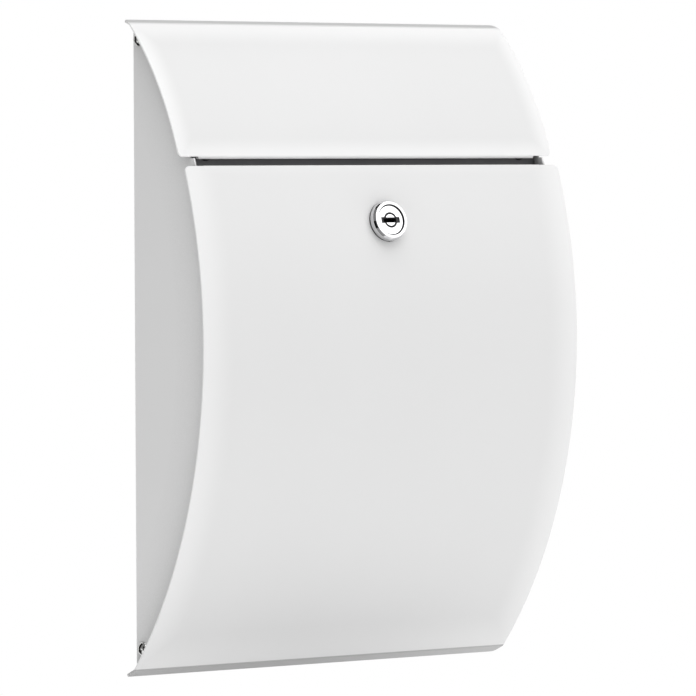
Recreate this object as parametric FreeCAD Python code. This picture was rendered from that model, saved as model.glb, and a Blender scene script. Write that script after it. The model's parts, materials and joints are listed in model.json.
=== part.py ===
import FreeCAD, Part
import math
import os

# Wall mailbox in folded, powder-coated sheet steel: a back-and-sides shell, an insert flap hinged
# near the top, a locking door hinged near the bottom, and a crossbar between them behind the slit.
# Frame: X to the right seen from the front, Y into the wall, Z up. The origin is on the wall,
# at the centre of the four fixing holes. Depths count forward from the back panel's rear face.

Vector = FreeCAD.Vector

# Sheet metal
SHEET = 1.0
FOLD_RADIUS = 1.5
BODY_FOLD_RADIUS = 2.0
CORNER_RADIUS = 3.0
WALL_STANDOFF = 7.0

# Widths
FRONT_WIDTH = 260.0
SIDE_OVERHANG = 8.0
FRONT_FOLD_INSET = 13.0

# Insert flap, outer face in side view
FLAP_RADIUS = 196.0
FLAP_TOP_DEPTH = 10.6
FLAP_TOP_Z = 182.9
FLAP_LOWER_Z = 107.2
FLAP_FOLD_SETBACK = 1.6
FLAP_FOLD_FLAT = 1.3
FLAP_END_TRIM = 1.1
FLAP_LIP_SLOPE = 19.0
FLAP_LIP_FLAT = 6.7

# Door, outer face in side view
SLIT_GAP = 5.2
FLAP_SETBACK = 5.6
DOOR_RADIUS = 274.5
DOOR_TOP_DEPTH = 66.2
DOOR_LOWER_DEPTH = 12.0
DOOR_LOWER_Z = -182.4
DOOR_FOLD_FLAT = 4.0
DOOR_END_RISE = 0.9
DOOR_LIP_SLOPE = 23.0
DOOR_LIP_FLAT = 9.6
LIP_BEND_RADIUS = 3.0

# Body shell
EDGE_GAP = 0.4
TOP_LUG_TURN = 135.0
LOWER_CORNER_TURN = 68.0
EDGE_FLANGE_DEPTH = 9.0
EDGE_FLANGE_INSET = 14.0
EDGE_FLANGE_ROOT = 6.0
HOLE_SPACING_X = 160.0
HOLE_SPACING_Z = 240.0
SCREW_HOLE_RADIUS = 3.0
BOSS_BASE_RADIUS = 22.0
BOSS_FOOT_RADIUS = 13.0

# Pivots
FLAP_PIVOT_DEPTH = 6.4
FLAP_PIVOT_DROP = 8.2
DOOR_PIVOT_DEPTH = 7.6
DOOR_PIVOT_RISE = 11.4
RIVET_RADIUS = 2.0
RIVET_HEAD_RADIUS = 4.3
RIVET_HEAD_HEIGHT = 2.4
RIVET_TAIL_RADIUS = 3.5
RIVET_TAIL_HEIGHT = 1.4
HOLE_CLEARANCE = 0.06
WASHER_RADIUS = 4.3
WASHER_THICKNESS = 0.9
PIVOT_PLAY = 0.1

# Brackets
BRACKET_SHEET = 1.2
BRACKET_EAR_RADIUS = 4.6
BRACKET_OFFSET = 12.0
BRACKET_LENGTH = 28.0
BRACKET_STRIP_WIDTH = 13.0
WELD_GAP = 0.05

# Cam lock, along its axis from the door's outer face, outward positive
LOCK_DROP = 31.3
BEZEL_RADIUS = 11.6
BEZEL_HEIGHT = 5.5
BEZEL_BEVEL = 1.0
BEZEL_BEVEL_HEIGHT = 1.7
PLUG_FACE_RADIUS = 8.9
PLUG_FACE_THICKNESS = 1.5
PLUG_RECESS = 1.0
PLUG_RADIUS = 6.4
PLUG_CLEARANCE = 0.08
BARREL_RADIUS = 9.4
BARREL_FLAT = 8.1
BARREL_CLEARANCE = 0.15
NUT_FLATS = 24.0
NUT_THICKNESS = 4.0
NUT_SEAT_GAP = 0.05
KEYHOLE_RADIUS = 4.2
KEYHOLE_GROOVE = 0.5
KEYHOLE_GROOVE_DEPTH = 0.7
KEY_SLOT_LENGTH = 12.6
KEY_SLOT_HEIGHT = 3.2
KEYWAY_LENGTH = 9.0
KEYWAY_HEIGHT = 2.4
KEYWAY_DEPTH = 7.0
CAM_STANDOFF = 0.5
CAM_THICKNESS = 2.0
CAM_HEAD_RADIUS = 9.0
CAM_WIDTH = 14.0
CAM_OVERLAP = 12.0
CAM_SQUARE = 7.0
CAM_SQUARE_CLEARANCE = 0.05
CAM_SQUARE_SHORTFALL = 0.2
CAM_WASHER_RADIUS = 5.5
CAM_WASHER_THICKNESS = 1.0
CAM_SCREW_RADIUS = 2.5
CAM_SCREW_LENGTH = 9.0
CAM_SCREW_HEAD_RADIUS = 4.6
CAM_SCREW_HEAD_HEIGHT = 2.8
CAM_SCREW_SLOT = 1.2
CAM_SCREW_SLOT_DEPTH = 1.3
SCREW_CLEARANCE = 0.05
SCREW_HOLE_SPARE = 1.0

# Crossbar and bumpers
BAR_NUT_CLEARANCE = 4.0
BAR_ABOVE_FOLD = 9.0
BAR_HEM = 9.0
BAR_TAB = 11.0
CATCH_DEPTH = 4.6
CATCH_CLEARANCE = 0.4
BUMPER_RADIUS = 4.0
BUMPER_THICKNESS = 1.5
BUMPER_ROUNDING = 0.5
BUMPER_GAP = 0.3
BUMPER_RAISE = 2.8
BUMPER_INSET = 11.6


# Side-view geometry: points are (depth, height), angles in degrees from straight forward, upward positive


def polar(length, angle):
    """Vector of this length in the section plane."""
    return Vector(length * math.cos(math.radians(angle)), length * math.sin(math.radians(angle)), 0)


def angle_of(vector):
    return math.degrees(math.atan2(vector.y, vector.x))


def circle_centre(low, high, radius):
    """Centre, on the wall's side, of the circle of this radius through two points of the front."""
    half_chord = (high - low) * 0.5
    rise = math.sqrt(radius ** 2 - half_chord.Length ** 2)
    return low + half_chord + polar(rise, angle_of(half_chord) + 90.0)


def angle_at_height(centre, radius, height):
    return math.degrees(math.asin((height - centre.y) / radius))


BODY_HALF_WIDTH = FRONT_WIDTH / 2 - SIDE_OVERHANG
SIDE_INNER_X = BODY_HALF_WIDTH - SHEET
FOLD_HALF_WIDTH = FRONT_WIDTH / 2 - FRONT_FOLD_INSET

FLAP_TOP = Vector(FLAP_TOP_DEPTH, FLAP_TOP_Z, 0)
FLAP_LOWER = Vector(DOOR_TOP_DEPTH - FLAP_SETBACK, FLAP_LOWER_Z, 0)
FLAP_CENTRE = circle_centre(FLAP_LOWER, FLAP_TOP, FLAP_RADIUS)
FLAP_PIVOT = Vector(FLAP_PIVOT_DEPTH, FLAP_TOP_Z - FLAP_PIVOT_DROP, 0)

DOOR_TOP = Vector(DOOR_TOP_DEPTH, FLAP_LOWER_Z - SLIT_GAP, 0)
DOOR_LOWER = Vector(DOOR_LOWER_DEPTH, DOOR_LOWER_Z, 0)
DOOR_CENTRE = circle_centre(DOOR_LOWER, DOOR_TOP, DOOR_RADIUS)
DOOR_PIVOT = Vector(DOOR_PIVOT_DEPTH, DOOR_LOWER_Z + DOOR_PIVOT_RISE, 0)

# The lock stands square to the door's face, so its axis leans up by the angle of the face there
LOCK_ANGLE = angle_at_height(DOOR_CENTRE, DOOR_RADIUS, DOOR_TOP.y - LOCK_DROP)
LOCK_POINT = DOOR_CENTRE + polar(DOOR_RADIUS, LOCK_ANGLE)

# Nut and plug of the lock, outward from the door's outer face
NUT_CORNER_RADIUS = NUT_FLATS / math.sqrt(3.0)
NUT_FRONT = -SHEET - NUT_CORNER_RADIUS ** 2 / (2 * (DOOR_RADIUS - SHEET)) - NUT_SEAT_GAP
PLUG_FACE = BEZEL_HEIGHT - PLUG_RECESS

# Lower fold of the flap: its tangent point on the face, and the tip of the fold that meets the bumpers
FLAP_FOLD_ANGLE = angle_of(FLAP_LOWER - FLAP_CENTRE) + math.degrees(FLAP_FOLD_SETBACK / FLAP_RADIUS)
FLAP_FOLD_CENTRE = FLAP_CENTRE + polar(FLAP_RADIUS - FOLD_RADIUS, FLAP_FOLD_ANGLE)
FLAP_FOLD_TIP = FLAP_FOLD_CENTRE + Vector(-FLAP_FOLD_FLAT, -FOLD_RADIUS + SHEET / 2, 0)

# Crossbar, in the lock's own axes: out along the lock, up along the door's face
FOLD_TIP_OUT = (FLAP_FOLD_TIP - LOCK_POINT).dot(polar(1.0, LOCK_ANGLE))
FOLD_TIP_UP = (FLAP_FOLD_TIP - LOCK_POINT).dot(polar(1.0, LOCK_ANGLE + 90.0))
BAR_FRONT = FOLD_TIP_OUT - BUMPER_GAP - BUMPER_THICKNESS
BAR_LOW = NUT_CORNER_RADIUS + BAR_NUT_CLEARANCE
BAR_HIGH = FOLD_TIP_UP + BAR_ABOVE_FOLD
BAR_REAR = BAR_FRONT - CATCH_DEPTH

# The cam turns behind the crossbar's lower fold, and the lock's barrel is as long as that asks
CAM_FRONT = BAR_REAR - CATCH_CLEARANCE
CAM_REAR = CAM_FRONT - CAM_THICKNESS
CAM_WASHER_REAR = CAM_REAR - CAM_WASHER_THICKNESS
CAM_REACH = BAR_LOW + CAM_OVERLAP
BARREL_LENGTH = -CAM_FRONT - CAM_STANDOFF


def in_side_view(x):
    """Map from a side-view point to space, in the plane at this X."""
    return lambda point: Vector(x, -(WALL_STANDOFF + point.x), point.y)


def across(length):
    return Vector(length, 0, 0)


def moved(shape, place, turn):
    placed = shape.copy()
    placed.Placement = FreeCAD.Placement(place, turn).multiply(shape.Placement)
    return placed


def in_lock_axes(shape):
    """Set a shape built with Z along the lock's axis and Y up the door's face onto the door."""
    return moved(shape, in_side_view(0.0)(LOCK_POINT), FreeCAD.Rotation(across(1), 90.0 - LOCK_ANGLE))


def on_pivot(shape, pivot):
    """Set a shape built with Z along its axis onto a pivot of the right side, pointing outward."""
    return moved(shape, in_side_view(BODY_HALF_WIDTH)(pivot), FreeCAD.Rotation(Vector(0, 1, 0), 90.0))


def left_copy(shape):
    return shape.mirror(Vector(0, 0, 0), Vector(1, 0, 0))


def one_solid(shape):
    """The single solid that a run of joins and cuts leaves, with its split faces merged."""
    (solid,) = shape.removeSplitter().Solids
    return solid


# Folded sheet: a line of flats and bends that join tangentially, given one thickness


def fold_line(point, heading, steps):
    """Runs of (point, heading) stations. A step is (length,) for a flat, (radius, turn) for a bend."""
    runs = []
    for step in steps:
        if len(step) == 1:
            run = [(point, heading), (point + polar(step[0], heading), heading)]
        else:
            radius, turn = step
            inward = math.copysign(90.0, turn)
            centre = point + polar(radius, heading + inward)
            stops = (0.0, turn / 2, turn)
            run = [(centre + polar(radius, heading - inward + stop), heading + stop) for stop in stops]
        runs.append(run)
        point, heading = run[-1]
    return runs


def fold_edge(place, run, offset):
    points = [place(point + polar(offset, heading + 90.0)) for point, heading in run]
    if len(points) == 2:
        return Part.LineSegment(*points).toShape()
    return Part.Arc(*points).toShape()


def folded_section(place, runs, thickness):
    """Face between a fold line and its copy one thickness to the left, or to the right if negative."""
    face_side = [fold_edge(place, run, 0.0) for run in runs]
    back_side = [fold_edge(place, run, thickness) for run in runs]
    ends = []
    for point, heading in (runs[0][0], runs[-1][-1]):
        ends.append(Part.makeLine(place(point), place(point + polar(thickness, heading + 90.0))))
    return Part.Face(Part.Wire(Part.__sortEdges__(face_side + back_side + ends)))


def folded_sheet(half_width, runs, thickness):
    return folded_section(in_side_view(-half_width), runs, thickness).extrude(across(2 * half_width))


def round_corners(sheet):
    """Round the four free corners of a front sheet, the short edges at its full width."""
    corners = []
    for edge in sheet.Edges:
        at_side = abs(abs(edge.CenterOfMass.x) - FRONT_WIDTH / 2) < SHEET / 10
        if at_side and isinstance(edge.Curve, Part.Line) and abs(edge.Length - SHEET) < SHEET / 100:
            corners.append(edge)
    return sheet.makeFillet(CORNER_RADIUS, corners)


def front_sheet(middle, end_runs, thickness):
    """Middle of a front sheet with the plain strips that run past the sides, its corners rounded."""
    end_section = folded_section(in_side_view(FOLD_HALF_WIDTH), end_runs, thickness)
    end = end_section.extrude(across(FRONT_FOLD_INSET))
    return round_corners(one_solid(middle.fuse([end, left_copy(end)])))


def insert_flap():
    """Curved flap with its lip along the top; between the sides its lower edge is folded inward."""
    top_angle = angle_of(FLAP_TOP - FLAP_CENTRE)
    end_angle = angle_of(FLAP_LOWER - FLAP_CENTRE) + math.degrees(FLAP_END_TRIM / FLAP_RADIUS)
    lip_turn = 90.0 - FLAP_LIP_SLOPE - top_angle
    lip = [(LIP_BEND_RADIUS, lip_turn), (FLAP_LIP_FLAT,)]

    def sheet_from(start_angle):
        start = FLAP_CENTRE + polar(FLAP_RADIUS, start_angle)
        return fold_line(start, start_angle + 90.0, [(FLAP_RADIUS, top_angle - start_angle)] + lip)

    fold_start = FLAP_CENTRE + polar(FLAP_RADIUS, FLAP_FOLD_ANGLE)
    fold_steps = [(FOLD_RADIUS, -(90.0 + FLAP_FOLD_ANGLE)), (FLAP_FOLD_FLAT,)]
    fold = fold_line(fold_start, FLAP_FOLD_ANGLE - 90.0, fold_steps)
    middle = folded_sheet(FOLD_HALF_WIDTH, sheet_from(FLAP_FOLD_ANGLE), SHEET)
    middle = middle.fuse(folded_sheet(FOLD_HALF_WIDTH, fold, -SHEET))
    return one_solid(front_sheet(middle, sheet_from(end_angle), SHEET))


def door_panel():
    """Curved door: folded inward along the top between the sides, lip along the bottom, lock hole."""
    top_angle = angle_of(DOOR_TOP - DOOR_CENTRE)
    end_angle = top_angle + math.degrees(DOOR_END_RISE / DOOR_RADIUS)
    lower_angle = angle_of(DOOR_LOWER - DOOR_CENTRE)
    lip_turn = -(90.0 - DOOR_LIP_SLOPE + lower_angle)
    lip = [(LIP_BEND_RADIUS, lip_turn), (DOOR_LIP_FLAT,)]

    def sheet_from(start_angle):
        start = DOOR_CENTRE + polar(DOOR_RADIUS, start_angle)
        return fold_line(start, start_angle - 90.0, [(DOOR_RADIUS, lower_angle - start_angle)] + lip)

    fold_steps = [(FOLD_RADIUS, 90.0 - top_angle), (DOOR_FOLD_FLAT,)]
    fold = fold_line(DOOR_TOP, top_angle + 90.0, fold_steps)
    middle = folded_sheet(FOLD_HALF_WIDTH, sheet_from(top_angle), -SHEET)
    middle = middle.fuse(folded_sheet(FOLD_HALF_WIDTH, fold, SHEET))
    panel = front_sheet(middle, sheet_from(end_angle), -SHEET)
    hole = double_flat(BARREL_RADIUS + BARREL_CLEARANCE, BARREL_FLAT + BARREL_CLEARANCE, -BEZEL_HEIGHT,
                       2 * BEZEL_HEIGHT)
    return one_solid(panel.cut(in_lock_axes(hole)))


def side_outline():
    """Side panel in side view: it follows both front sheets, steps out in the slit, rounds both pivots."""
    inset = SHEET + EDGE_GAP
    door_radius = DOOR_RADIUS - inset
    flap_radius = FLAP_RADIUS - inset
    door_turn = angle_of(DOOR_PIVOT - DOOR_CENTRE)
    flap_turn = angle_of(FLAP_PIVOT - FLAP_CENTRE)
    lower_corner = door_radius - (DOOR_PIVOT - DOOR_CENTRE).Length
    top_lug = flap_radius - (FLAP_PIVOT - FLAP_CENTRE).Length

    def arc(centre, radius, start, end):
        return [centre + polar(radius, angle) for angle in (start, (start + end) / 2, end)]

    arcs = [
        arc(DOOR_PIVOT, lower_corner, -LOWER_CORNER_TURN, door_turn),
        arc(DOOR_CENTRE, door_radius, door_turn, angle_at_height(DOOR_CENTRE, door_radius, FLAP_LOWER.y)),
        arc(FLAP_CENTRE, flap_radius, angle_at_height(FLAP_CENTRE, flap_radius, FLAP_LOWER.y), flap_turn),
        arc(FLAP_PIVOT, top_lug, flap_turn, TOP_LUG_TURN),
    ]
    low, high = arcs[0][0].y, arcs[-1][-1].y
    corners = [arcs[-1][-1], Vector(0, high, 0), Vector(0, low, 0), arcs[0][0]]
    place = in_side_view(-BODY_HALF_WIDTH)
    edges = [Part.Arc(*[place(point) for point in points]).toShape() for points in arcs]
    straights = list(zip(corners, corners[1:])) + [(arcs[1][-1], arcs[2][0])]
    edges += [Part.makeLine(place(start), place(end)) for start, end in straights]
    return Part.Face(Part.Wire(Part.__sortEdges__(edges))), low, high


def edge_flange(edge_z, upward):
    """Stiffening fold along the back panel's top or bottom edge, turned forward between the brackets."""
    half = BODY_HALF_WIDTH - EDGE_FLANGE_INSET
    start = Vector(0, edge_z - upward * EDGE_FLANGE_ROOT, 0)
    steps = [
        (EDGE_FLANGE_ROOT - BODY_FOLD_RADIUS,),
        (BODY_FOLD_RADIUS, -90.0 * upward),
        (EDGE_FLANGE_DEPTH - BODY_FOLD_RADIUS,),
    ]
    return folded_sheet(half, fold_line(start, 90.0 * upward, steps), -upward * SHEET)


def body_shell():
    """Back panel and sides in one folded sheet, with dished feet round the four fixing holes."""
    outline, low, high = side_outline()
    deepest = DOOR_CENTRE.x + DOOR_RADIUS
    wall_turn = (BODY_FOLD_RADIUS, -90.0)
    side_run = (deepest - BODY_FOLD_RADIUS,)
    back_run = (2 * (BODY_HALF_WIDTH - BODY_FOLD_RADIUS),)
    plan = fold_line(Vector(BODY_HALF_WIDTH, deepest, 0), -90.0,
                     [side_run, wall_turn, back_run, wall_turn, side_run])

    def in_plan(point):
        return Vector(point.x, -(WALL_STANDOFF + point.y), low)

    channel = folded_section(in_plan, plan, -SHEET).extrude(Vector(0, 0, high - low))
    shell = channel.common(outline.extrude(across(2 * BODY_HALF_WIDTH)))

    # The flat edge gives way to each flange's bend
    strip_half = BODY_HALF_WIDTH - EDGE_FLANGE_INSET
    for edge_z, upward in ((high, 1), (low, -1)):
        strip_low = min(edge_z, edge_z - upward * BODY_FOLD_RADIUS)
        corner = Vector(-strip_half, -(WALL_STANDOFF + SHEET), strip_low)
        shell = shell.cut(Part.makeBox(2 * strip_half, SHEET, BODY_FOLD_RADIUS, corner))
        shell = shell.fuse(edge_flange(edge_z, upward))

    # Dished feet: pressed back to the wall, hollow from the front
    for x in (-HOLE_SPACING_X / 2, HOLE_SPACING_X / 2):
        for z in (-HOLE_SPACING_Z / 2, HOLE_SPACING_Z / 2):
            foot = Vector(x, 0, z)
            forward = Vector(0, -1, 0)
            outside = Part.makeCone(BOSS_FOOT_RADIUS, BOSS_BASE_RADIUS, WALL_STANDOFF, foot, forward)
            inside = Part.makeCone(BOSS_FOOT_RADIUS - SHEET / 2, BOSS_BASE_RADIUS - SHEET / 2, WALL_STANDOFF,
                                   foot + forward * SHEET, forward)
            hole = Part.makeCylinder(SCREW_HOLE_RADIUS, 2 * SHEET, foot, forward)
            shell = shell.fuse(outside).cut(inside).cut(hole)

    for pivot in (FLAP_PIVOT, DOOR_PIVOT):
        start = in_side_view(-BODY_HALF_WIDTH)(pivot)
        bore = Part.makeCylinder(RIVET_RADIUS + HOLE_CLEARANCE, 2 * BODY_HALF_WIDTH, start, across(1))
        shell = shell.cut(bore)
    return one_solid(shell)


def pivot_rivet(pivot):
    """Domed head outside, shank through side, washer and bracket, formed tail inside."""
    shank_length = SHEET + WASHER_THICKNESS + BRACKET_SHEET + 2 * PIVOT_PLAY
    ball_radius = (RIVET_HEAD_RADIUS ** 2 + RIVET_HEAD_HEIGHT ** 2) / (2 * RIVET_HEAD_HEIGHT)
    ball = Part.makeSphere(ball_radius, Vector(0, 0, RIVET_HEAD_HEIGHT - ball_radius))
    head = ball.common(Part.makeCylinder(RIVET_HEAD_RADIUS, RIVET_HEAD_HEIGHT))
    down = Vector(0, 0, -1)
    shank = Part.makeCylinder(RIVET_RADIUS, shank_length, Vector(0, 0, 0), down)
    tail = Part.makeCone(RIVET_TAIL_RADIUS, RIVET_RADIUS, RIVET_TAIL_HEIGHT, down * shank_length, down)
    return on_pivot(one_solid(head.fuse([shank, tail])), pivot)


def pivot_washer(pivot):
    """Nylon washer between the side and the bracket's ear."""
    down = Vector(0, 0, -1)
    seat = down * SHEET
    ring = Part.makeCylinder(WASHER_RADIUS, WASHER_THICKNESS, seat, down)
    bore = Part.makeCylinder(RIVET_RADIUS + HOLE_CLEARANCE, WASHER_THICKNESS, seat, down)
    return on_pivot(one_solid(ring.cut(bore)), pivot)


def hinge_bracket(centre, radius, pivot, away):
    """Angle bracket: a strip on the sheet's inner face and an ear round the pivot (away: +1 up, -1 down)."""
    ear_x = SIDE_INNER_X - WASHER_THICKNESS - PIVOT_PLAY
    seat_radius = radius - SHEET - WELD_GAP
    pivot_turn = angle_of(pivot - centre)
    near_turn = pivot_turn + away * math.degrees(BRACKET_OFFSET / seat_radius)
    far_turn = near_turn + away * math.degrees(BRACKET_LENGTH / seat_radius)
    near, middle, far = [centre + polar(seat_radius, turn)
                         for turn in (near_turn, (near_turn + far_turn) / 2, far_turn)]

    def tangent_turn(point, side):
        to_point = point - pivot
        return angle_of(to_point) + side * math.degrees(math.acos(BRACKET_EAR_RADIUS / to_point.Length))

    near_touch = tangent_turn(near, -away)
    far_touch = tangent_turn(far, away)
    back_turn = angle_of(pivot - middle)
    ear_round = [pivot + polar(BRACKET_EAR_RADIUS, turn) for turn in (near_touch, back_turn, far_touch)]
    place = in_side_view(ear_x - BRACKET_SHEET)
    edges = [
        Part.Arc(place(near), place(middle), place(far)).toShape(),
        Part.makeLine(place(far), place(ear_round[2])),
        Part.Arc(*[place(point) for point in ear_round]).toShape(),
        Part.makeLine(place(ear_round[0]), place(near)),
    ]
    ear = Part.Face(Part.Wire(Part.__sortEdges__(edges))).extrude(across(BRACKET_SHEET))
    strip_line = fold_line(near, near_turn + 90.0 * away, [(seat_radius, far_turn - near_turn)])
    strip_face = folded_section(in_side_view(ear_x - BRACKET_STRIP_WIDTH), strip_line, away * BRACKET_SHEET)
    strip = strip_face.extrude(across(BRACKET_STRIP_WIDTH))
    bore = Part.makeCylinder(RIVET_RADIUS + HOLE_CLEARANCE, BRACKET_SHEET, place(pivot), across(1))
    return one_solid(ear.fuse(strip).cut(bore))


def slot_crossbar():
    """Channel bar behind the slit: its lower fold is the lock's catch, its ends are welded to the sides."""
    plate_half = SIDE_INNER_X - FOLD_RADIUS
    steps = [
        (CATCH_DEPTH - FOLD_RADIUS,),
        (FOLD_RADIUS, 90.0),
        (BAR_HIGH - BAR_LOW - 2 * FOLD_RADIUS,),
        (FOLD_RADIUS, 90.0),
        (BAR_HEM - FOLD_RADIUS,),
    ]

    def in_bar_section(point):
        return Vector(-plate_half, point.y, point.x)

    section = folded_section(in_bar_section, fold_line(Vector(BAR_REAR, BAR_LOW, 0), 0.0, steps), SHEET)
    channel = section.extrude(across(2 * plate_half))

    def in_bar_plan(point):
        return Vector(point.x, BAR_LOW + FOLD_RADIUS, point.y)

    tab_line = fold_line(Vector(plate_half, BAR_FRONT, 0), 0.0, [(FOLD_RADIUS, -90.0), (BAR_TAB,)])
    tab_height = BAR_HIGH - BAR_LOW - 2 * FOLD_RADIUS
    tab = folded_section(in_bar_plan, tab_line, -SHEET).extrude(Vector(0, tab_height, 0))
    return in_lock_axes(one_solid(channel.fuse([tab, left_copy(tab)])))


def flap_bumper():
    """Rubber button on the crossbar, behind the flap's lower fold, on the right."""
    seat = Vector(SIDE_INNER_X - BUMPER_INSET, FOLD_TIP_UP + BUMPER_RAISE, BAR_FRONT)
    button = Part.makeCylinder(BUMPER_RADIUS, BUMPER_THICKNESS, seat)
    rim = [edge for edge in button.Edges if edge.CenterOfMass.z > BAR_FRONT + BUMPER_THICKNESS / 2
           and edge.isClosed()]
    return in_lock_axes(button.makeFillet(BUMPER_ROUNDING, rim))


def double_flat(radius, flat, low, height):
    """Round bar with a flat above and below, along the lock's axis."""
    bar = Part.makeCylinder(radius, height, Vector(0, 0, low))
    slab = Part.makeBox(2 * radius, 2 * flat, height, Vector(-radius, -flat, low))
    return bar.common(slab)


def lock_housing():
    """Chromed bezel on the door's face, with its flatted barrel through the door."""
    lower_height = BEZEL_HEIGHT - BEZEL_BEVEL_HEIGHT
    bezel = Part.makeCylinder(BEZEL_RADIUS, lower_height)
    bezel = bezel.fuse(Part.makeCone(BEZEL_RADIUS, BEZEL_RADIUS - BEZEL_BEVEL, BEZEL_BEVEL_HEIGHT,
                                     Vector(0, 0, lower_height)))
    barrel = double_flat(BARREL_RADIUS, BARREL_FLAT, -BARREL_LENGTH, BARREL_LENGTH)
    recess_floor = PLUG_FACE - PLUG_FACE_THICKNESS - PLUG_CLEARANCE
    recess = Part.makeCylinder(PLUG_FACE_RADIUS + PLUG_CLEARANCE, BEZEL_HEIGHT - recess_floor,
                               Vector(0, 0, recess_floor))
    bore = Part.makeCylinder(PLUG_RADIUS + PLUG_CLEARANCE, BARREL_LENGTH + BEZEL_HEIGHT,
                             Vector(0, 0, -BARREL_LENGTH))
    return in_lock_axes(one_solid(bezel.fuse(barrel).cut(recess).cut(bore)))


def hexagon(across_flats, low, height):
    points = [polar(across_flats / math.sqrt(3.0), 60.0 * step) for step in range(7)]
    return Part.Face(Part.makePolygon([point + Vector(0, 0, low) for point in points])).extrude(
        Vector(0, 0, height))


def lock_nut():
    """Hexagon nut that clamps the lock to the inside of the door."""
    low = NUT_FRONT - NUT_THICKNESS
    bore = Part.makeCylinder(BARREL_RADIUS + HOLE_CLEARANCE, NUT_THICKNESS, Vector(0, 0, low))
    return in_lock_axes(one_solid(hexagon(NUT_FLATS, low, NUT_THICKNESS).cut(bore)))


def slot_box(length, height, low, top):
    return Part.makeBox(length, height, top - low, Vector(-length / 2, -height / 2, low))


def lock_plug():
    """Turning plug: round face with a grooved keyhole and key slot, core, square tail for the cam."""
    face_low = PLUG_FACE - PLUG_FACE_THICKNESS
    face = Part.makeCylinder(PLUG_FACE_RADIUS, PLUG_FACE_THICKNESS, Vector(0, 0, face_low))
    core = Part.makeCylinder(PLUG_RADIUS, face_low - CAM_FRONT, Vector(0, 0, CAM_FRONT))
    tail_low = CAM_REAR + CAM_SQUARE_SHORTFALL
    tail_side = CAM_SQUARE - 2 * CAM_SQUARE_CLEARANCE
    tail = slot_box(tail_side, tail_side, tail_low, CAM_FRONT)
    groove_low = PLUG_FACE - KEYHOLE_GROOVE_DEPTH
    groove = Part.makeCylinder(KEYHOLE_RADIUS, KEYHOLE_GROOVE_DEPTH, Vector(0, 0, groove_low))
    groove = groove.cut(Part.makeCylinder(KEYHOLE_RADIUS - KEYHOLE_GROOVE, KEYHOLE_GROOVE_DEPTH,
                                          Vector(0, 0, groove_low)))
    slot = slot_box(KEY_SLOT_LENGTH, KEY_SLOT_HEIGHT, groove_low, PLUG_FACE)
    keyway = slot_box(KEYWAY_LENGTH, KEYWAY_HEIGHT, PLUG_FACE - KEYWAY_DEPTH, PLUG_FACE)
    hole_depth = CAM_WASHER_REAR + CAM_SCREW_LENGTH + SCREW_HOLE_SPARE - tail_low
    screw_hole = Part.makeCylinder(CAM_SCREW_RADIUS + SCREW_CLEARANCE, hole_depth, Vector(0, 0, tail_low))
    plug = face.fuse([core, tail]).cut([groove, slot, keyway, screw_hole])
    return in_lock_axes(one_solid(plug))


def lock_cam():
    """Flat steel tongue on the plug's tail: sideways when unlocked, up behind the crossbar when locked."""
    low = Vector(0, 0, CAM_REAR)
    head = Part.makeCylinder(CAM_HEAD_RADIUS, CAM_THICKNESS, low)
    arm_length = CAM_REACH - CAM_WIDTH / 2
    arm = Part.makeBox(arm_length, CAM_WIDTH, CAM_THICKNESS, low + Vector(0, -CAM_WIDTH / 2, 0))
    tip = Part.makeCylinder(CAM_WIDTH / 2, CAM_THICKNESS, low + across(arm_length))
    square = slot_box(CAM_SQUARE, CAM_SQUARE, CAM_REAR, CAM_FRONT)
    return in_lock_axes(one_solid(head.fuse([arm, tip]).cut(square)))


def cam_washer():
    low = Vector(0, 0, CAM_WASHER_REAR)
    ring = Part.makeCylinder(CAM_WASHER_RADIUS, CAM_WASHER_THICKNESS, low)
    bore = Part.makeCylinder(CAM_SCREW_RADIUS + SCREW_CLEARANCE, CAM_WASHER_THICKNESS, low)
    return in_lock_axes(one_solid(ring.cut(bore)))


def cam_screw():
    """Slotted screw that holds the cam on the plug's tail."""
    head_low = CAM_WASHER_REAR - CAM_SCREW_HEAD_HEIGHT
    head = Part.makeCylinder(CAM_SCREW_HEAD_RADIUS, CAM_SCREW_HEAD_HEIGHT, Vector(0, 0, head_low))
    shank = Part.makeCylinder(CAM_SCREW_RADIUS, CAM_SCREW_LENGTH, Vector(0, 0, CAM_WASHER_REAR))
    slot = slot_box(2 * CAM_SCREW_HEAD_RADIUS, CAM_SCREW_SLOT, head_low, head_low + CAM_SCREW_SLOT_DEPTH)
    return in_lock_axes(one_solid(head.fuse(shank).cut(slot)))


SINGLE_PIECES = {
    "body_shell": body_shell(),
    "slot_crossbar": slot_crossbar(),
    "insert_flap": insert_flap(),
    "door_panel": door_panel(),
    "lock_housing": lock_housing(),
    "lock_nut": lock_nut(),
    "lock_plug": lock_plug(),
    "lock_cam": lock_cam(),
    "cam_washer": cam_washer(),
    "cam_screw": cam_screw(),
}

# Built for the right side and mirrored to the left
PAIRED_PIECES = {
    "flap_bumper": flap_bumper(),
    "flap_pivot_rivet": pivot_rivet(FLAP_PIVOT),
    "flap_pivot_washer": pivot_washer(FLAP_PIVOT),
    "flap_bracket": hinge_bracket(FLAP_CENTRE, FLAP_RADIUS, FLAP_PIVOT, -1),
    "door_pivot_rivet": pivot_rivet(DOOR_PIVOT),
    "door_pivot_washer": pivot_washer(DOOR_PIVOT),
    "door_bracket": hinge_bracket(DOOR_CENTRE, DOOR_RADIUS, DOOR_PIVOT, 1),
}

os.makedirs("parts", exist_ok=True)
for name, shape in SINGLE_PIECES.items():
    shape.exportStep("parts/" + name + ".step")
for name, shape in PAIRED_PIECES.items():
    shape.exportStep("parts/" + name + "_right.step")
    left_copy(shape).exportStep("parts/" + name + "_left.step")
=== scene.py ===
import json
import math

import bmesh
import bpy
from mathutils import Matrix, Vector


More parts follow.
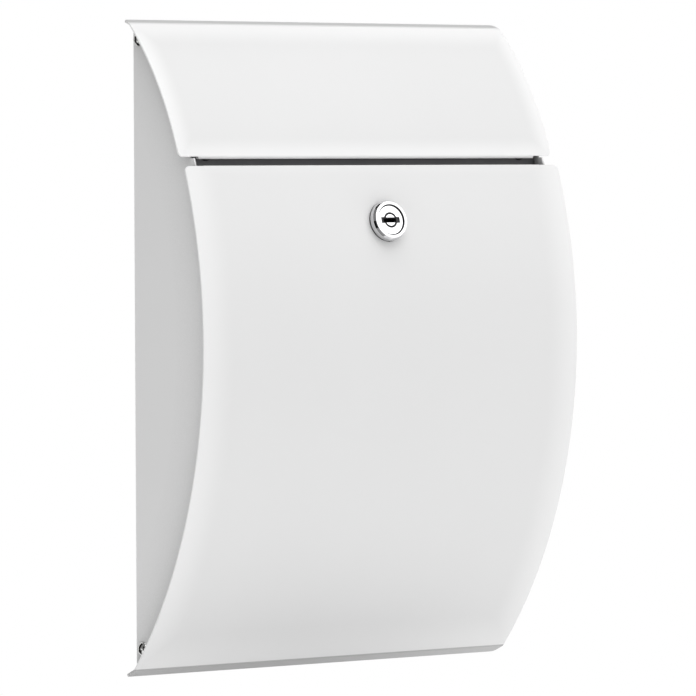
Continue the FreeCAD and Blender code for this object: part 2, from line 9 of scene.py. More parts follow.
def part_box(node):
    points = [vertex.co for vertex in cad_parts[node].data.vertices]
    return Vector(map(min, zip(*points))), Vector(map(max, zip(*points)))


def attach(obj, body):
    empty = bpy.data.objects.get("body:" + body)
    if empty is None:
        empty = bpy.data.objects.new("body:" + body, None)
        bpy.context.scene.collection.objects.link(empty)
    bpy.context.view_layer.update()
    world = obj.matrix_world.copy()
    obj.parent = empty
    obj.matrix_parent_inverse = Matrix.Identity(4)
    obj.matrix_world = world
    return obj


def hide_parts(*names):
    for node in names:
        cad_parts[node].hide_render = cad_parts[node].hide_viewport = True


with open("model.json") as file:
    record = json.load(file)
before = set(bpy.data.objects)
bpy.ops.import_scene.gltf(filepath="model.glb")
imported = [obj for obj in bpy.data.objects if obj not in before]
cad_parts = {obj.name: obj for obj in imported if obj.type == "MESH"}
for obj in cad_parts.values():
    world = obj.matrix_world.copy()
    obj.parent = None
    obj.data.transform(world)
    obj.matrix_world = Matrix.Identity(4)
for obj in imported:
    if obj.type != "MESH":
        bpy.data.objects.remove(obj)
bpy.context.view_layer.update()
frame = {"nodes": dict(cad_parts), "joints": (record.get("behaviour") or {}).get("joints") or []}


# Body shell: one sheet of 1 mm steel folded into the back panel and the two sides, with four feet
# dished back to the wall for the screws. It is sprayed with white powder and baked, which leaves a
# faint orange peel and rounds every cut edge. Its colour carries painted shade: it turns darker where
# other surfaces are near, in its corners and behind the overhanging front sheets.

SHEET_ROUNDING = 0.00042
SHARP_FOLD = math.radians(28.0)
FLAT_FOLD = math.radians(0.25)
WELD_DISTANCE = 0.000001


def soft_edged_skin(node, body, rounding, segments=3):
    """Mesh that stands for a CAD node: its flats merged, its sharp edges rounded and marked as edges."""
    work = bmesh.new()
    work.from_mesh(frame["nodes"][node].data)
    bmesh.ops.remove_doubles(work, verts=work.verts, dist=WELD_DISTANCE)
    bmesh.ops.dissolve_limit(work, angle_limit=FLAT_FOLD, verts=work.verts, edges=work.edges)
    on_edge = work.faces.layers.float.new("rounded_edge")
    sharp = [edge for edge in work.edges if edge.is_manifold and edge.calc_face_angle() > SHARP_FOLD]
    rounded = bmesh.ops.bevel(work, geom=sharp, offset=rounding, segments=segments, profile=0.5,
                              affect="EDGES", clamp_overlap=True)
    for face in work.faces:
        face.smooth = True
    for face in rounded["faces"]:
        face[on_edge] = 1.0
    mesh = bpy.data.meshes.new(node + "_skin")
    work.to_mesh(mesh)
    work.free()
    skin = bpy.data.objects.new(node + "_skin", mesh)
    bpy.context.scene.collection.objects.link(skin)
    shading = skin.modifiers.new("face_weighted_shading", "WEIGHTED_NORMAL")
    shading.mode = "FACE_AREA"
    shading.weight = 50
    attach(skin, body)
    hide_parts(node)
    return skin


def effect_group(name, inputs, outputs):
    """Empty shader node group with named sockets: its tree, its input node and its output node."""
    tree = bpy.data.node_groups.new(name, "ShaderNodeTree")
    for label, value in inputs:
        kind = "NodeSocketColor" if isinstance(value, tuple) else "NodeSocketFloat"
        tree.interface.new_socket(label, in_out="INPUT", socket_type=kind).default_value = value
    for label, kind in outputs:
        tree.interface.new_socket(label, in_out="OUTPUT", socket_type=kind)
    return tree, tree.nodes.new("NodeGroupInput"), tree.nodes.new("NodeGroupOutput")


def new_node(tree, kind, **settings):
    node = tree.nodes.new(kind)
    for key, value in settings.items():
        setattr(node, key, value)
    return node


def noise_node(tree, detail):
    """Noise in the object's own metres."""
    place = new_node(tree, "ShaderNodeTexCoord")
    noise = new_node(tree, "ShaderNodeTexNoise")
    noise.inputs["Detail"].default_value = detail
    tree.links.new(place.outputs["Object"], noise.inputs["Vector"])
    return noise


def ripple_group():
    """Fine unevenness of a finish: a height for the bump and a roughness that follows it."""
    tree, given, result = effect_group(
        "surface_ripple",
        [("Scale", 600.0), ("Smooth", 0.35), ("Dull", 0.5)],
        [("Height", "NodeSocketFloat"), ("Roughness", "NodeSocketFloat")],
    )
    noise = noise_node(tree, detail=2.0)
    spread = new_node(tree, "ShaderNodeMapRange")
    tree.links.new(given.outputs["Scale"], noise.inputs["Scale"])
    tree.links.new(noise.outputs["Fac"], result.inputs["Height"])
    tree.links.new(noise.outputs["Fac"], spread.inputs["Value"])
    tree.links.new(given.outputs["Smooth"], spread.inputs["To Min"])
    tree.links.new(given.outputs["Dull"], spread.inputs["To Max"])
    tree.links.new(spread.outputs["Result"], result.inputs["Roughness"])
    return tree


def cloud_group():
    """Slow drift of colour over a surface, and another tone on its rounded edges."""
    tree, given, result = effect_group(
        "tone_drift",
        [("Scale", 12.0), ("Light", (0.8, 0.8, 0.8, 1)), ("Deep", (0.7, 0.7, 0.7, 1)),
         ("Edge", (0.9, 0.9, 0.9, 1)), ("Edge Share", 0.5)],
        [("Color", "NodeSocketColor")],
    )
    noise = noise_node(tree, detail=3.0)
    drift = new_node(tree, "ShaderNodeMix", data_type="RGBA")
    edge_mix = new_node(tree, "ShaderNodeMix", data_type="RGBA")
    edge_mark = new_node(tree, "ShaderNodeAttribute", attribute_name="rounded_edge")
    share = new_node(tree, "ShaderNodeMath", operation="MULTIPLY")
    tree.links.new(given.outputs["Scale"], noise.inputs["Scale"])
    tree.links.new(noise.outputs["Fac"], drift.inputs["Factor"])
    tree.links.new(given.outputs["Light"], drift.inputs["A"])
    tree.links.new(given.outputs["Deep"], drift.inputs["B"])
    tree.links.new(edge_mark.outputs["Fac"], share.inputs[0])
    tree.links.new(given.outputs["Edge Share"], share.inputs[1])
    tree.links.new(share.outputs["Value"], edge_mix.inputs["Factor"])
    tree.links.new(drift.outputs["Result"], edge_mix.inputs["A"])
    tree.links.new(given.outputs["Edge"], edge_mix.inputs["B"])
    tree.links.new(edge_mix.outputs["Result"], result.inputs["Color"])
    return tree


surface_ripple = ripple_group()
tone_drift = cloud_group()


def placed_group(tree, group, values):
    node = new_node(tree, "ShaderNodeGroup", node_tree=group)
    for label, value in values.items():
        node.inputs[label].default_value = value
    return node


def finish_material(name, tones, ripple, bump, metallic=0.0):
    """Principled material whose colour drifts and whose gloss and bump follow a fine ripple."""
    material = bpy.data.materials.new(name)
    material.use_nodes = True
    tree = material.node_tree
    surface = tree.nodes["Principled BSDF"]
    surface.inputs["Metallic"].default_value = metallic
    drift = placed_group(tree, tone_drift, tones)
    drift.name = "tone"
    grain = placed_group(tree, surface_ripple, ripple)
    relief = new_node(tree, "ShaderNodeBump")
    relief.inputs["Strength"].default_value = bump[0]
    relief.inputs["Distance"].default_value = bump[1]
    tree.links.new(drift.outputs["Color"], surface.inputs["Base Color"])
    tree.links.new(grain.outputs["Roughness"], surface.inputs["Roughness"])
    tree.links.new(grain.outputs["Height"], relief.inputs["Height"])
    tree.links.new(relief.outputs["Normal"], surface.inputs["Normal"])
    return material


def white_coat(name):
    """White powder coat: a slow drift of tone, a painted highlight on the rounded edges, with a fine orange
    peel.
    """
    return finish_material(
        name,
        tones={"Scale": 9.0, "Light": (0.83, 0.83, 0.83, 1), "Deep": (0.80, 0.80, 0.80, 1),
               "Edge": (0.91, 0.91, 0.91, 1), "Edge Share": 0.8},
        ripple={"Scale": 620.0, "Smooth": 0.36, "Dull": 0.46},
        bump=(0.3, 0.00002),
    )


# Painted shade: the coat is darkened towards a grey wherever ambient occlusion finds other surfaces near.
PAINTED_SHADE_REACH = 0.04
PAINTED_SHADE_OPENNESS = 0.8
PAINTED_SHADE_TONE = (0.5, 0.5, 0.5, 1)
shell_coat = white_coat("shell_coat")
tree = shell_coat.node_tree
openness = new_node(tree, "ShaderNodeAmbientOcclusion", samples=8)
openness.inputs["Distance"].default_value = PAINTED_SHADE_REACH
open_share = new_node(tree, "ShaderNodeMapRange")
open_share.inputs["From Min"].default_value = PAINTED_SHADE_OPENNESS
painted_shade_mix = new_node(tree, "ShaderNodeMix", data_type="RGBA")
painted_shade_mix.inputs["A"].default_value = PAINTED_SHADE_TONE
tree.links.new(openness.outputs["AO"], open_share.inputs["Value"])
tree.links.new(open_share.outputs["Result"], painted_shade_mix.inputs["Factor"])
tree.links.new(tree.nodes["tone"].outputs["Color"], painted_shade_mix.inputs["B"])
tree.links.new(painted_shade_mix.outputs["Result"], tree.nodes["Principled BSDF"].inputs["Base Color"])
body_skin = soft_edged_skin("body_shell", "body", SHEET_ROUNDING)
body_skin.data.materials.append(shell_coat)


# Slot crossbar: a folded steel channel behind the slit, spot-welded to both sides by its bent ends.
# Its lower fold is the catch for the lock's cam. Its matt dark grey is painted shade, so that the slit
# looks as dark as the shade inside the box.

# Painted shade: a dark grey that makes the slit in front of the bar look dark.
grey_primer = finish_material(
    "grey_primer",
    tones={"Scale": 40.0, "Light": (0.165, 0.165, 0.17, 1), "Deep": (0.135, 0.135, 0.14, 1),
           "Edge": (0.17, 0.17, 0.175, 1), "Edge Share": 0.5},
    ripple={"Scale": 1500.0, "Smooth": 0.55, "Dull": 0.7},
    bump=(0.3, 0.00002),
)
crossbar_skin = soft_edged_skin("slot_crossbar", "body", SHEET_ROUNDING)
crossbar_skin.data.materials.append(grey_primer)


# Flap bumpers: two black rubber buttons stuck on the crossbar, which the flap's lower fold meets when
# it falls shut. Moulded rubber, matt, with a fine bloom on the surface.

BUMPER_ROUNDING = 0.0001
black_rubber = finish_material(
    "black_rubber",
    tones={"Scale": 500.0, "Light": (0.022, 0.022, 0.022, 1), "Deep": (0.014, 0.014, 0.014, 1),
           "Edge": (0.03, 0.03, 0.03, 1), "Edge Share": 0.5},
    ripple={"Scale": 4000.0, "Smooth": 0.6, "Dull": 0.85},
    bump=(0.4, 0.00003),
)
for side in ("_left", "_right"):
    bumper_skin = soft_edged_skin("flap_bumper" + side, "body", BUMPER_ROUNDING)
    bumper_skin.data.materials.append(black_rubber)


# Insert flap: the upper front sheet, rolled to a gentle curve, with a lip along its top edge and a
# short fold along its lower edge between the sides. Coated in the same white powder as the body, with
# a painted highlight towards its rim and painted shade on the lip, behind the bend.

FRONT_HALF_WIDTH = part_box("insert_flap")[1].x
FLAP_FACE_LOW = 0.1067
FLAP_FACE_HIGH = 0.1837
FLAP_RIM_REACH = 0.013
LIP_BLEND = 0.0006


def rim_group():
    """How near a point lies to the rim of a front sheet, 0 to 1, and whether it lies on the lip past it."""
    tree, given, result = effect_group(
        "rim_and_lip",
        [("Half Width", 0.13), ("Low", 0.0), ("High", 0.1), ("Reach", 0.012)],
        [("Rim", "NodeSocketFloat"), ("Lip", "NodeSocketFloat")],
    )
    place = new_node(tree, "ShaderNodeTexCoord")
    part = new_node(tree, "ShaderNodeSeparateXYZ")
    off_middle = new_node(tree, "ShaderNodeMath", operation="ABSOLUTE")
    past_side = new_node(tree, "ShaderNodeMath", operation="SUBTRACT")
    past_low = new_node(tree, "ShaderNodeMath", operation="SUBTRACT")
    past_high = new_node(tree, "ShaderNodeMath", operation="SUBTRACT")
    past_end = new_node(tree, "ShaderNodeMath", operation="MAXIMUM")
    past_rim = new_node(tree, "ShaderNodeMath", operation="MAXIMUM")
    inner = new_node(tree, "ShaderNodeMath", operation="MULTIPLY")
    inner.inputs[1].default_value = -1.0
    near_rim = new_node(tree, "ShaderNodeMapRange", interpolation_type="SMOOTHSTEP")
    near_rim.inputs["From Max"].default_value = 0.0
    on_lip = new_node(tree, "ShaderNodeMapRange", interpolation_type="SMOOTHSTEP")
    on_lip.inputs["From Max"].default_value = LIP_BLEND
    tree.links.new(place.outputs["Object"], part.inputs["Vector"])
    tree.links.new(part.outputs["X"], off_middle.inputs[0])
    tree.links.new(off_middle.outputs["Value"], past_side.inputs[0])
    tree.links.new(given.outputs["Half Width"], past_side.inputs[1])
    tree.links.new(given.outputs["Low"], past_low.inputs[0])
    tree.links.new(part.outputs["Z"], past_low.inputs[1])
    tree.links.new(part.outputs["Z"], past_high.inputs[0])
    tree.links.new(given.outputs["High"], past_high.inputs[1])
    tree.links.new(past_low.outputs["Value"], past_end.inputs[0])
    tree.links.new(past_high.outputs["Value"], past_end.inputs[1])
    tree.links.new(past_side.outputs["Value"], past_rim.inputs[0])
    tree.links.new(past_end.outputs["Value"], past_rim.inputs[1])
    tree.links.new(given.outputs["Reach"], inner.inputs[0])
    tree.links.new(inner.outputs["Value"], near_rim.inputs["From Min"])
    tree.links.new(past_rim.outputs["Value"], near_rim.inputs["Value"])
    tree.links.new(near_rim.outputs["Result"], result.inputs["Rim"])
    tree.links.new(past_end.outputs["Value"], on_lip.inputs["Value"])
    tree.links.new(on_lip.outputs["Result"], result.inputs["Lip"])
    return tree


rim_and_lip = rim_group()


def rimmed_coat(name, rim, rim_highlight_tone, lip_shade_tone):
    """White powder coat of a front sheet, with a painted highlight towards the rim and painted shade on the
    lip.
    """
    material = white_coat(name)
    tree = material.node_tree
    masks = placed_group(tree, rim_and_lip, rim)
    # Painted highlight towards the rim, painted shade on the lip.
    rim_highlight_mix = new_node(tree, "ShaderNodeMix", data_type="RGBA")
    rim_highlight_mix.inputs["B"].default_value = (rim_highlight_tone, rim_highlight_tone, rim_highlight_tone, 1)
    lip_shade_mix = new_node(tree, "ShaderNodeMix", data_type="RGBA")
    lip_shade_mix.inputs["B"].default_value = (lip_shade_tone, lip_shade_tone, lip_shade_tone, 1)
    tree.links.new(masks.outputs["Rim"], rim_highlight_mix.inputs["Factor"])
    tree.links.new(tree.nodes["tone"].outputs["Color"], rim_highlight_mix.inputs["A"])
    tree.links.new(masks.outputs["Lip"], lip_shade_mix.inputs["Factor"])
    tree.links.new(rim_highlight_mix.outputs["Result"], lip_shade_mix.inputs["A"])
    tree.links.new(lip_shade_mix.outputs["Result"], tree.nodes["Principled BSDF"].inputs["Base Color"])
    return material


flap_skin = soft_edged_skin("insert_flap", "flap", SHEET_ROUNDING)
flap_skin.data.materials.append(rimmed_coat(
    "flap_coat",
    {"Half Width": FRONT_HALF_WIDTH, "Low": FLAP_FACE_LOW, "High": FLAP_FACE_HIGH, "Reach": FLAP_RIM_REACH},
    rim_highlight_tone=0.93, lip_shade_tone=0.67))


# Flap brackets: two angles of zinc-plated steel, spot-welded inside the flap. Their ears turn on the
# pivot rivets. The plating is bright, with faint clouding from the bath.

PLATE_ROUNDING = 0.00025
zinc_plated_steel = finish_material(
    "zinc_plated_steel",
    tones={"Scale": 160.0, "Light": (0.62, 0.63, 0.65, 1), "Deep": (0.46, 0.47, 0.49, 1),
           "Edge": (0.72, 0.73, 0.74, 1), "Edge Share": 0.6},
    ripple={"Scale": 900.0, "Smooth": 0.28, "Dull": 0.46},
    bump=(0.2, 0.00002),
    metallic=1.0,
)
for side in ("_left", "_right"):
    bracket_skin = soft_edged_skin("flap_bracket" + side, "flap", PLATE_ROUNDING)
    bracket_skin.data.materials.append(zinc_plated_steel)


# Door panel: the lower front sheet, rolled to a deeper curve, folded inward along its top and turned
# out to a lip along its bottom. It is punched for the lock and coated as the flap is, with the same
# painted highlight towards its rim and painted shade on its lip.

DOOR_FACE_LOW = -0.1817
DOOR_FACE_HIGH = 0.1170
DOOR_RIM_REACH = 0.022
door_skin = soft_edged_skin("door_panel", "door", SHEET_ROUNDING)
# Painted highlight towards the rim and painted shade on the lip, as on the flap.
door_skin.data.materials.append(rimmed_coat(
    "door_coat",
    {"Half Width": FRONT_HALF_WIDTH, "Low": DOOR_FACE_LOW, "High": DOOR_FACE_HIGH, "Reach": DOOR_RIM_REACH},
    rim_highlight_tone=0.90, lip_shade_tone=0.49))


# Door brackets: the same zinc-plated angles, spot-welded inside the lower end of the door. Their ears
# turn on the lower rivets, so the door swings down and forward.

for side in ("_left", "_right"):
    bracket_skin = soft_edged_skin("door_bracket" + side, "door", PLATE_ROUNDING)
    bracket_skin.data.materials.append(zinc_plated_steel)


# Pivot rivets and washers: domed nickel-plated rivets through each side, headed over inside the ears,
# with a nylon washer between side and ear so that the pivots turn stiffly and don't scrape.

PIVOT_ROUNDING = 0.0001
nickel_plate = finish_material(
    "nickel_rivet",
    tones={"Scale": 300.0, "Light": (0.70, 0.70, 0.69, 1), "Deep": (0.58, 0.58, 0.57, 1),
           "Edge": (0.76, 0.76, 0.75, 1), "Edge Share": 0.5},
    ripple={"Scale": 2500.0, "Smooth": 0.1, "Dull": 0.2},
    bump=(0.08, 0.00001),
    metallic=1.0,
)
natural_nylon = finish_material(
    "nylon_washer",
    tones={"Scale": 250.0, "Light": (0.79, 0.78, 0.73, 1), "Deep": (0.73, 0.72, 0.66, 1),
           "Edge": (0.83, 0.82, 0.78, 1), "Edge Share": 0.6},
    ripple={"Scale": 2000.0, "Smooth": 0.4, "Dull": 0.55},
    bump=(0.15, 0.00002),
)
for pivot in ("flap_pivot", "door_pivot"):
    for side in ("_left", "_right"):
        rivet_skin = soft_edged_skin(pivot + "_rivet" + side, "body", PIVOT_ROUNDING)
        rivet_skin.data.materials.append(nickel_plate)
        washer_skin = soft_edged_skin(pivot + "_washer" + side, "body", PIVOT_ROUNDING)
        washer_skin.data.materials.append(natural_nylon)


# Lock housing: a die-cast zinc bezel and barrel in one, chromed and polished on the bezel. The recess
# round the plug and the bezel's foot are near black, painted shade for the shade in the recess and the
# gap at the foot; the barrel behind the door is threaded for its nut, and its two flats keep it from
# turning in the hole.

LOCK_ROUNDING = 0.00018
BEZEL_RECESS_RADIUS = 0.00904
BEZEL_FRONT = 0.0052
BEZEL_FOOT = 0.0012
BARREL_RADIUS = 0.0094
BARREL_FLAT = 0.0081
NEAR_FLAT_SHARE = 0.9
THREAD_FRONT = -0.0014
THREAD_PITCH = 0.001
THREAD_DEPTH = 0.0004
CUT_TOLERANCE = 0.0000001
HEIGHT_TOLERANCE = 0.000002
RECESS_SHADE = 1
PLATED = 2
lock_turn = next(joint for joint in frame["joints"] if joint["name"] == "lock_turn")
lock_point = Vector(lock_turn["pos_m"])
lock_axis = Vector(lock_turn["axis"]).normalized()


def lock_height(point):
    return (point - lock_point).dot(lock_axis)


def lock_radius(point):
    return (point - lock_point - lock_height(point) * lock_axis).length


def move_in_lock(vertex, radius, height):
    """Put a vertex at a radius and height in the lock's own axes, keeping its direction from the axis."""
    outward = vertex.co - lock_point - lock_height(vertex.co) * lock_axis
    vertex.co = lock_point + outward.normalized() * radius + height * lock_axis


polished_chrome = finish_material(
    "polished_chrome",
    tones={"Scale": 60.0, "Light": (0.68, 0.68, 0.69, 1), "Deep": (0.62, 0.62, 0.63, 1),
           "Edge": (0.72, 0.72, 0.72, 1), "Edge Share": 0.6},
    ripple={"Scale": 1500.0, "Smooth": 0.04, "Dull": 0.09},
    bump=(0.02, 0.000005),
    metallic=1.0,
)
# Painted shade: a near-black used in the lock's recesses and at the bezel's foot.
recess_shade_black = finish_material(
    "recess_shade_black",
    tones={"Scale": 400.0, "Light": (0.03, 0.03, 0.032, 1), "Deep": (0.015, 0.015, 0.016, 1),
           "Edge": (0.04, 0.04, 0.042, 1), "Edge Share": 0.5},
    ripple={"Scale": 3000.0, "Smooth": 0.4, "Dull": 0.6},
    bump=(0.3, 0.00003),
)
housing_skin = soft_edged_skin("lock_housing", "door", LOCK_ROUNDING)
for material in (polished_chrome, recess_shade_black, zinc_plated_steel):
    housing_skin.data.materials.append(material)
work = bmesh.new()
work.from_mesh(housing_skin.data)
barrel_end = min(lock_height(vertex.co) for vertex in work.verts)
cuts = [BEZEL_FOOT]
while cuts[-1] > barrel_end + THREAD_PITCH:
    cuts.append(THREAD_FRONT - (len(cuts) - 1) * THREAD_PITCH / 2)
for height in cuts:
    bmesh.ops.bisect_plane(work, geom=work.verts[:] + work.edges[:] + work.faces[:], dist=CUT_TOLERANCE,
                           plane_co=lock_point + height * lock_axis, plane_no=lock_axis)
root_radius = BARREL_RADIUS - THREAD_DEPTH
lock_up = lock_axis.cross(Vector((1, 0, 0))).normalized()
for vertex in work.verts:
    height = lock_height(vertex.co)
    off_root = min(abs(height - root) for root in cuts[2::2])
    if lock_radius(vertex.co) < root_radius or off_root > HEIGHT_TOLERANCE:
        continue
    up = (vertex.co - lock_point).dot(lock_up)
    if abs(up) > NEAR_FLAT_SHARE * BARREL_FLAT:
        vertex.co.x = math.copysign(math.sqrt(root_radius ** 2 - up ** 2), vertex.co.x)
    else:
        move_in_lock(vertex, root_radius, height)
for edge in work.edges:
    heights = [lock_height(vertex.co) for vertex in edge.verts]
    edge.smooth = max(heights) > THREAD_FRONT or abs(heights[0] - heights[1]) > HEIGHT_TOLERANCE
housing_skin.modifiers["face_weighted_shading"].keep_sharp = True
for face in work.faces:
    heights = [lock_height(vertex.co) for vertex in face.verts]
    radii = [lock_radius(vertex.co) for vertex in face.verts]
    if max(heights) < THREAD_FRONT + HEIGHT_TOLERANCE:
        face.material_index = PLATED
    # Painted shade: faces in the recess round the plug and on the bezel's foot get the near-black material.
    elif max(radii) < BEZEL_RECESS_RADIUS and min(heights) < BEZEL_FRONT:
        face.material_index = RECESS_SHADE
    elif min(radii) > BARREL_RADIUS and max(heights) < BEZEL_FOOT + HEIGHT_TOLERANCE:
        face.material_index = RECESS_SHADE
work.to_mesh(housing_skin.data)
work.free()


# Lock plug: the turning part of the lock, chromed on its round face. Its rim is chamfered; the chamfer,
# the grooved keyhole, the key slot, the keyway and every other face below the round face are near
# black, painted shade for the shade in these recesses.

PLUG_FACE = 0.0045
PLUG_ROUNDING = 0.00008
PLUG_RIM_RADIUS = 0.0089
PLUG_RIM_CHAMFER = 0.00065
PLUG_CHAMFER_SLOPE = 0.8
EDGE_REACH = 1.1 * PLUG_ROUNDING
FACE_TOLERANCE = 0.00001
KEYHOLE_RADII = ((0.0042, 0.0003), (0.0037, -0.0003))
plug_skin = soft_edged_skin("lock_plug", "lock_cylinder", PLUG_ROUNDING)
for material in (polished_chrome, recess_shade_black):
    plug_skin.data.materials.append(material)
for vertex in plug_skin.data.vertices:
    height = lock_height(vertex.co)
    radius = lock_radius(vertex.co)
    depth = min(max((PLUG_FACE - height) / PLUG_ROUNDING, 0.0), 1.0)
    if height < PLUG_FACE - EDGE_REACH:
        continue
    if radius > PLUG_RIM_RADIUS - EDGE_REACH:
        move_in_lock(vertex, PLUG_RIM_RADIUS - PLUG_RIM_CHAMFER * (1 - depth),
                     PLUG_FACE - PLUG_CHAMFER_SLOPE * PLUG_RIM_CHAMFER * depth)
    for edge_radius, widening in KEYHOLE_RADII:
        if abs(radius - edge_radius) < EDGE_REACH:
            move_in_lock(vertex, radius + widening * (1 - depth), height)
# Painted shade: every face that reaches below the plug's round face gets the near-black material.
for face in plug_skin.data.polygons:
    lowest = min(lock_height(plug_skin.data.vertices[index].co) for index in face.vertices)
    if lowest < PLUG_FACE - FACE_TOLERANCE:
        face.material_index = RECESS_SHADE


# Lock nut, cam, cam washer and cam screw: zinc-plated steel behind the door. The nut clamps the barrel,
# and the screw and washer hold the cam, a flat tongue, on the plug's square tail.

for node, body in (("lock_nut", "door"), ("lock_cam", "lock_cylinder"), ("cam_washer", "lock_cylinder"),
                   ("cam_screw", "lock_cylinder")):
    steel_skin = soft_edged_skin(node, body, PLATE_ROUNDING)
    steel_skin.data.materials.append(zinc_plated_steel)


# Floor: a pale round studio floor that gives off light away from the part, so that it throws light up
# at the door, and gives off none under it, which leaves a painted shadow there. To the camera and in
# polished metal it fades to white.
# The fades are pairs of distances from the floor's middle, in metres.

FLOOR_Z = -0.3
FLOOR_RADIUS = 3.0
FLOOR_GLOW = 0.82
GLOW_FADE = (0.06, 0.26)
SEEN_FADE = (0.15, 0.8)
SEEN_WHITE_AT_MIDDLE = 0.6
MIRRORED_FADE = (0.2, 0.8)
floor_mesh = bpy.data.meshes.new("floor")
floor_shape = bmesh.new()
bmesh.ops.create_circle(floor_shape, cap_ends=True, radius=FLOOR_RADIUS, segments=96)
floor_shape.to_mesh(floor_mesh)
floor_shape.free()
floor = bpy.data.objects.new("floor", floor_mesh)
floor.location = (0, 0, FLOOR_Z)
bpy.context.scene.collection.objects.link(floor)

floor_paint = bpy.data.materials.new("studio_floor")
floor_paint.use_nodes = True
floor_mesh.materials.append(floor_paint)
tree = floor_paint.node_tree
paint = tree.nodes["Principled BSDF"]
paint.inputs["Base Color"].default_value = (0.5, 0.5, 0.5, 1)
paint.inputs["Roughness"].default_value = 0.9
paint.inputs["Emission Color"].default_value = (1, 1, 1, 1)
place = new_node(tree, "ShaderNodeTexCoord")
from_middle = new_node(tree, "ShaderNodeVectorMath", operation="LENGTH")
tree.links.new(place.outputs["Object"], from_middle.inputs[0])


def fade_out(fade, start, end):
    """Value that runs from start to end between the two distances of a fade."""
    ramp = new_node(tree, "ShaderNodeMapRange", interpolation_type="SMOOTHSTEP")
    for label, value in (("From Min", fade[0]), ("From Max", fade[1]), ("To Min", start), ("To Max", end)):
        ramp.inputs[label].default_value = value
    tree.links.new(from_middle.outputs["Value"], ramp.inputs["Value"])
    return ramp.outputs["Result"]


ray = new_node(tree, "ShaderNodeLightPath")
seen = new_node(tree, "ShaderNodeMath", operation="MULTIPLY")
mirrored = new_node(tree, "ShaderNodeMath", operation="MULTIPLY")
white_share = new_node(tree, "ShaderNodeMath", operation="MAXIMUM")
white = new_node(tree, "ShaderNodeEmission")
mix = new_node(tree, "ShaderNodeMixShader")
tree.links.new(fade_out(GLOW_FADE, 0.0, FLOOR_GLOW), paint.inputs["Emission Strength"])
tree.links.new(ray.outputs["Is Camera Ray"], seen.inputs[0])
tree.links.new(fade_out(SEEN_FADE, SEEN_WHITE_AT_MIDDLE, 1.0), seen.inputs[1])
tree.links.new(ray.outputs["Is Glossy Ray"], mirrored.inputs[0])
tree.links.new(fade_out(MIRRORED_FADE, 0.0, 1.0), mirrored.inputs[1])
tree.links.new(seen.outputs["Value"], white_share.inputs[0])
tree.links.new(mirrored.outputs["Value"], white_share.inputs[1])
tree.links.new(white_share.outputs["Value"], mix.inputs["Fac"])
tree.links.new(paint.outputs["BSDF"], mix.inputs[1])
tree.links.new(white.outputs["Emission"], mix.inputs[2])
tree.links.new(mix.outputs["Shader"], tree.nodes["Material Output"].inputs["Surface"])


# Surroundings: a white studio room. The camera and polished metal see it as plain white; on the part
# it throws only a low, even light.

AMBIENT = 0.22
world = bpy.data.worlds.new("studio_white")
world.use_nodes = True
bpy.context.scene.world = world
tree = world.node_tree
sky = tree.nodes["Background"]
sky.inputs["Color"].default_value = (1, 1, 1, 1)
ray = new_node(tree, "ShaderNodeLightPath")
seen = new_node(tree, "ShaderNodeMath", operation="ADD", use_clamp=True)
also = new_node(tree, "ShaderNodeMath", operation="ADD", use_clamp=True)
level = new_node(tree, "ShaderNodeMapRange")
level.inputs["To Min"].default_value = AMBIENT
level.inputs["To Max"].default_value = 1.0
tree.links.new(ray.outputs["Is Camera Ray"], seen.inputs[0])
tree.links.new(ray.outputs["Is Glossy Ray"], seen.inputs[1])
tree.links.new(seen.outputs["Value"], also.inputs[0])
tree.links.new(ray.outputs["Is Transmission Ray"], also.inputs[1])
tree.links.new(also.outputs["Value"], level.inputs["Value"])
tree.links.new(level.outputs["Result"], sky.inputs["Strength"])


# Softboxes: three rectangular studio lamps that look at the middle of the box. A large one hangs above
# the front, a small one lights the left side, and one from the right lights the lock's face.


def softbox(name, place, width, height, power):
    lamp = bpy.data.lights.new(name, "AREA")
    lamp.shape = "RECTANGLE"
    lamp.size = width
    lamp.size_y = height
    lamp.energy = power
    holder = bpy.data.objects.new(name, lamp)
    holder.location = place
    holder.rotation_euler = (-Vector(place)).to_track_quat("-Z", "Y").to_euler()
    bpy.context.scene.collection.objects.link(holder)


softbox("top_softbox", place=(0.0, -0.9, 2.4), width=3.4, height=2.6, power=58.5)
softbox("left_softbox", place=(-2.4, -0.6, 0.1), width=1.6, height=1.6, power=4.0)
softbox("lock_softbox", place=(1.45, -1.9, 1.0), width=1.0, height=1.0, power=4.7)


# Cards: black and grey studio flags that only reflections show, so that the bezel and the rivets have
# dark reflections to bring out their shape, as they have in a room. Tones are light given off.

BLACK = 0.004


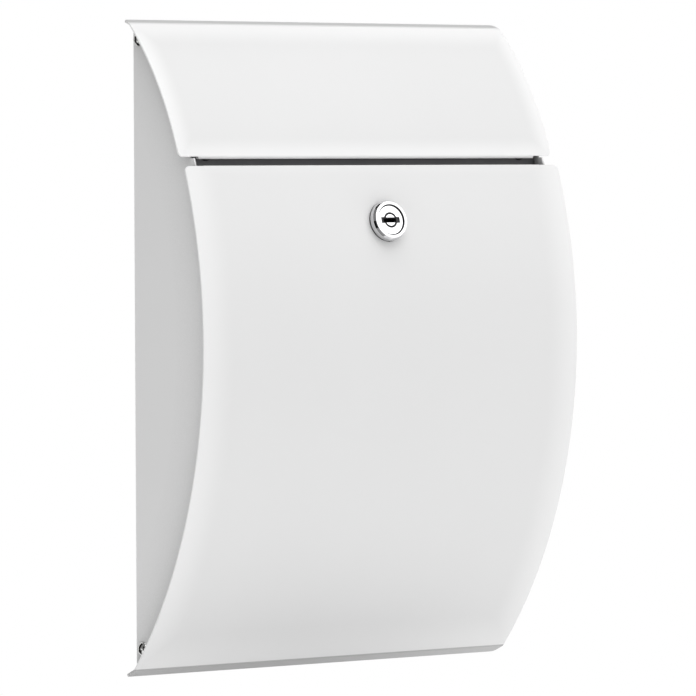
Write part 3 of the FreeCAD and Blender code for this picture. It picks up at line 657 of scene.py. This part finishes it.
def card(name, place, towards, width, height, tone):
    mesh = bpy.data.meshes.new(name)
    shape = bmesh.new()
    corners = [(-width / 2, -height / 2, 0), (width / 2, -height / 2, 0), (width / 2, height / 2, 0),
               (-width / 2, height / 2, 0)]
    shape.faces.new([shape.verts.new(corner) for corner in corners])
    shape.to_mesh(mesh)
    shape.free()
    dye = bpy.data.materials.new(name)
    dye.use_nodes = True
    surface = dye.node_tree.nodes["Principled BSDF"]
    surface.inputs["Base Color"].default_value = (0, 0, 0, 1)
    surface.inputs["Roughness"].default_value = 1.0
    surface.inputs["Specular IOR Level"].default_value = 0.0
    surface.inputs["Emission Color"].default_value = (1, 1, 1, 1)
    surface.inputs["Emission Strength"].default_value = tone
    mesh.materials.append(dye)
    flag = bpy.data.objects.new(name, mesh)
    flag.location = place
    flag.rotation_euler = (Vector(towards) - Vector(place)).to_track_quat("Z", "Y").to_euler()
    flag.visible_camera = False
    flag.visible_diffuse = False
    flag.visible_shadow = False
    flag.visible_transmission = False
    bpy.context.scene.collection.objects.link(flag)


card("low_left_card", (-0.5, -0.2, -0.08), lock_point, 0.3, 0.5, BLACK)
card("over_card", (0.0, 0.26, 0.66), lock_point, 0.6, 0.5, BLACK)
card("behind_card", (0.45, 0.72, 0.25), (0, 0, 0.1), 1.0, 1.3, BLACK)
card("back_left_card", (-0.46, 0.40, 0.03), (0, 0, 0.03), 0.42, 0.9, BLACK)
card("low_back_card", (-0.42, 0.3, -0.29), (-0.42, 0.3, 0.0), 0.5, 0.5, BLACK)
card("left_grey_card", (-0.72, 0.0, 0.45), lock_point, 0.9, 1.3, 0.27)
card("over_grey_card", (0.12, 0.42, 0.84), lock_point, 1.0, 0.9, 0.3)
card("low_grey_card", (-0.2, -0.2, -0.2), lock_point, 0.3, 0.3, 0.36)


# Camera: a long lens from the left, a little above the middle of the box and turned slightly down, as
# the object is seen in the picture.

CAMERA_PLACE = (-1.7172, -2.4972, 0.1006)
CAMERA_TURN = math.radians(35.0)
CAMERA_DIP = math.radians(1.9643)
CAMERA_ROLL = math.radians(-0.2324)
SENSOR_WIDTH_MM = 36.0
LENS_MM = 269.4
FARTHEST_SEEN = 30.0
camera = bpy.data.cameras.new("camera")
camera.sensor_width = SENSOR_WIDTH_MM
camera.lens = LENS_MM
camera.clip_end = FARTHEST_SEEN
holder = bpy.data.objects.new("camera", camera)
look = Vector((math.sin(CAMERA_TURN) * math.cos(CAMERA_DIP), math.cos(CAMERA_TURN) * math.cos(CAMERA_DIP),
               -math.sin(CAMERA_DIP)))
turn = look.to_track_quat("-Z", "Y").to_matrix() @ Matrix.Rotation(CAMERA_ROLL, 3, "Z")
holder.matrix_world = Matrix.Translation(CAMERA_PLACE) @ turn.to_4x4()
bpy.context.scene.collection.objects.link(holder)
bpy.context.scene.camera = holder
bpy.context.scene.view_settings.view_transform = "Standard"
